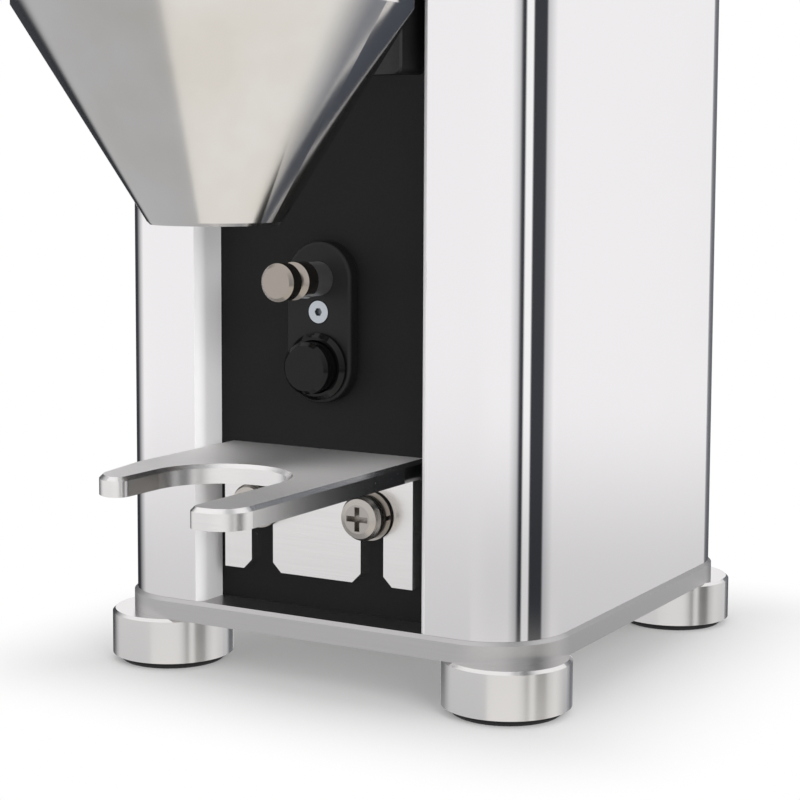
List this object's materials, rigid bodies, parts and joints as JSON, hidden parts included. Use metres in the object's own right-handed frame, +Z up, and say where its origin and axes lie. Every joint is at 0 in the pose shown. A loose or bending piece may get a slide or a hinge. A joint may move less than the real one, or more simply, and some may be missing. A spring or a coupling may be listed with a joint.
{
  "type": "burr coffee grinder",
  "caption": "Free-standing burr coffee grinder: polished tower on round feet, start button and portafilter fork under a metal cone, stepless grind collar and hopper with gate and lid.",
  "frame": {"origin": "on the surface under the feet, below the middle of the outline", "axes": "+Z up, -Y towards the user, +X to the right as seen by the user"},
  "size_m": [0.1414, 0.2386, 0.3856],
  "materials": {
    "polished_steel": "mirror polished stainless sheet",
    "satin_aluminium": "satin milled aluminium",
    "bright_aluminium": "polished spun aluminium",
    "bright_steel": "turned bright steel",
    "screw_steel": "zinc plated steel",
    "black_panel": "satin black coating",
    "black_plastic": "moulded matte black",
    "button_black": "moulded smooth black",
    "foot_metal": "bright turned aluminium",
    "black_anodised": "black anodised",
    "pad_rubber": "soft black rubber",
    "cast_metal": "cast and machined aluminium",
    "motor_paint": "dark grey paint",
    "core_steel": "stacked electrical sheet",
    "winding_copper": "varnished copper wire",
    "burr_steel": "hardened and ground tool steel",
    "hopper_clear": "smoke tinted clear moulding",
    "capacitor_shell": "drawn aluminium can"
  },
  "bodies": {
    "housing": {"base_plate": "satin_aluminium", "foot_discs": "foot_metal", "foot_pads": "pad_rubber", "foot_screws": "screw_steel", "posts": "screw_steel", "body_shell": "polished_steel", "front_panel": "black_panel", "panel_screws": "screw_steel", "switch_plate": "black_anodised", "plate_screw": "screw_steel", "hold_down_pin": "bright_steel", "button_bezel": "black_plastic", "button_nut": "screw_steel", "contact_block": "black_plastic", "button_spring": "bright_steel", "fork_screws": "screw_steel", "fork_spring_washers": "screw_steel", "fork_washers": "screw_steel", "funnel": "bright_aluminium", "funnel_holder": "black_plastic", "outlet_spout": "bright_aluminium", "deck_plate": "satin_aluminium", "index_pin": "bright_steel", "deck_screws": "screw_steel", "grinding_chamber": "cast_metal", "chamber_screws": "screw_steel", "motor_screws": "screw_steel", "motor_can": "motor_paint", "motor_top_bell": "cast_metal", "motor_bottom_bell": "cast_metal", "stator_core": "core_steel", "motor_windings": "winding_copper", "bearings": "bright_steel", "run_capacitor": "capacitor_shell", "cord_gland": "black_plastic", "gland_nut": "black_plastic", "rocker_housing": "black_plastic"},
    "start_button": {"button_cap": "button_black"},
    "fork": {"portafilter_fork": "satin_aluminium"},
    "rotor": {"motor_shaft": "bright_steel", "rotor_core": "core_steel", "burr_carrier": "cast_metal", "carrier_nut": "screw_steel", "lower_burr": "burr_steel"},
    "collar": {"grind_collar": "black_plastic"},
    "upper_burr_ring": {"upper_carrier": "cast_metal", "upper_burr": "burr_steel"},
    "hopper": {"hopper_base": "black_plastic", "hopper_bowl": "hopper_clear"},
    "gate": {"hopper_gate": "bright_steel"},
    "lid": {"hopper_lid": "black_plastic"},
    "power_rocker": {"rocker": "button_black"}
  },
  "joints": [
    {"name": "button_press", "type": "slide", "parent": "housing", "child": "start_button", "axis": [0, 1, 0], "range_m": [0, 0.0025], "stiffness_N_per_m": 800, "springref_m": -0.002, "deforming": ["button_spring"]},
    {"name": "fork_height", "type": "slide", "parent": "housing", "child": "fork", "axis": [0, 0, 1], "range_m": [0, 0.012]},
    {"name": "motor_spin", "type": "hinge", "parent": "housing", "child": "rotor", "pos_m": [0, 0.04482, 0.2006], "axis": [0, 0, 1], "continuous": true},
    {"name": "collar_turn", "type": "hinge", "parent": "housing", "child": "collar", "pos_m": [0, 0.04482, 0.2706], "axis": [0, 0, 1], "range_deg": [0, 270]},
    {"name": "burr_height", "type": "slide", "parent": "housing", "child": "upper_burr_ring", "axis": [0, 0, 1], "range_m": [0, 0.00113]},
    {"name": "hopper_lift", "type": "slide", "parent": "collar", "child": "hopper", "axis": [0, 0, 1], "range_m": [0, 0.06]},
    {"name": "gate_pull", "type": "slide", "parent": "hopper", "child": "gate", "axis": [1, 0, 0], "range_m": [0, 0.05]},
    {"name": "lid_lift", "type": "slide", "parent": "hopper", "child": "lid", "axis": [0, 0, 1], "range_m": [0, 0.06]},
    {"name": "rocker_tip", "type": "hinge", "parent": "housing", "child": "power_rocker", "pos_m": [-0.026, 0.11517, 0.0506], "axis": [1, 0, 0], "range_deg": [0, 18]}
  ],
  "couplings": [
    {"joint": "burr_height", "follows": "collar_turn", "m_per_rad": 0.00023873}
  ]
}
